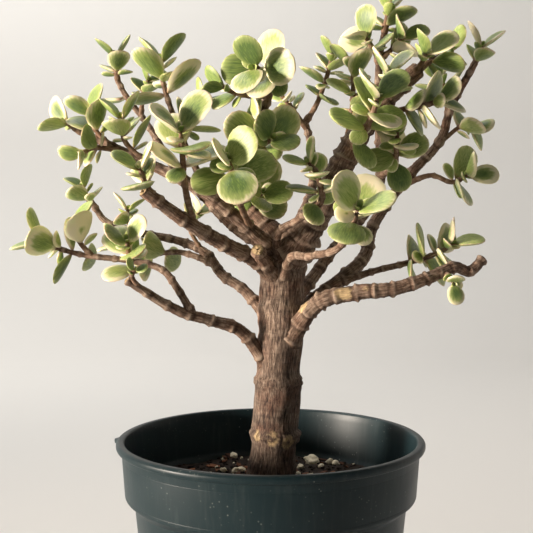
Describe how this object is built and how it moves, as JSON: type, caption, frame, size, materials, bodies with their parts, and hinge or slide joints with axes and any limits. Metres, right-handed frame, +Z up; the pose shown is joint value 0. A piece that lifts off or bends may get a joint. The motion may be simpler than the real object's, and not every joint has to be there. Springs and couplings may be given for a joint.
{
  "type": "potted jade plant",
  "caption": "Small tree-form succulent with a thick bare trunk, spreading stems and plump cream-edged leaves, growing in a round tapered nursery pot that stands on a flat surface.",
  "frame": {"origin": "centre of the pot's flat underside, where the pot stands on a surface", "axes": "+Z up along the pot's axis; -Y is the front, where the stem with the pink-tipped rosette reaches furthest forward; +X is to the right seen from the front"},
  "size_m": [0.2475, 0.1644, 0.3652],
  "materials": {
    "pot_plastic": "satin",
    "potting_compost": "matte",
    "jade_bark": "matte",
    "variegated_leaf": "satin",
    "pumice": "matte"
  },
  "bodies": {
    "root": {"nursery_pot": "pot_plastic", "potting_soil": "potting_compost", "trunk": "jade_bark", "right_leader": "jade_bark", "inner_right_leader": "jade_bark", "upper_left_branch": "jade_bark", "thick_left_branch": "jade_bark", "back_left_branch": "jade_bark", "centre_leader": "jade_bark", "centre_back_branch": "jade_bark", "rear_right_branch": "jade_bark", "lower_right_branch": "jade_bark", "mid_left_branch": "jade_bark", "lower_left_branch": "jade_bark", "pruned_stub": "jade_bark", "far_left_shoot": "variegated_leaf", "far_left_riser": "variegated_leaf", "far_left_inner_riser": "variegated_leaf", "lower_left_sprout": "variegated_leaf", "mid_left_tip": "variegated_leaf", "mid_left_riser": "variegated_leaf", "mid_left_arm": "variegated_leaf", "inner_left_sprout": "variegated_leaf", "upper_left_tip": "variegated_leaf", "upper_left_riser": "variegated_leaf", "upper_left_mid_riser": "variegated_leaf", "upper_left_low_shoot": "variegated_leaf", "thick_left_tip": "variegated_leaf", "mid_front_shoot": "variegated_leaf", "tall_left_shoot": "variegated_leaf", "tall_left_side_shoot": "variegated_leaf", "back_left_tip": "variegated_leaf", "back_left_side_shoot": "variegated_leaf", "front_rosette": "variegated_leaf", "centre_low_shoot": "variegated_leaf", "centre_front_shoot": "variegated_leaf", "centre_right_shoot": "variegated_leaf", "front_right_shoot": "variegated_leaf", "crown_tip": "variegated_leaf", "crown_left_shoot": "variegated_leaf", "back_fork_left": "variegated_leaf", "back_fork_right": "variegated_leaf", "top_right_tip": "variegated_leaf", "top_right_side_shoot": "variegated_leaf", "top_right_inner_shoot": "variegated_leaf", "leader_riser": "variegated_leaf", "leader_tip": "variegated_leaf", "leader_inner_shoot": "variegated_leaf", "leader_front_shoot": "variegated_leaf", "leader_side_shoot": "variegated_leaf", "leader_back_riser": "variegated_leaf", "right_inner_shoot": "variegated_leaf", "rear_right_tip": "variegated_leaf", "rear_right_riser": "variegated_leaf", "rear_right_outer_shoot": "variegated_leaf", "rear_right_side_arm": "variegated_leaf", "low_right_riser": "variegated_leaf", "lower_right_sprout": "variegated_leaf", "pumice_granule_large": "pumice", "pumice_granule_small": "pumice"}
  },
  "joints": []
}
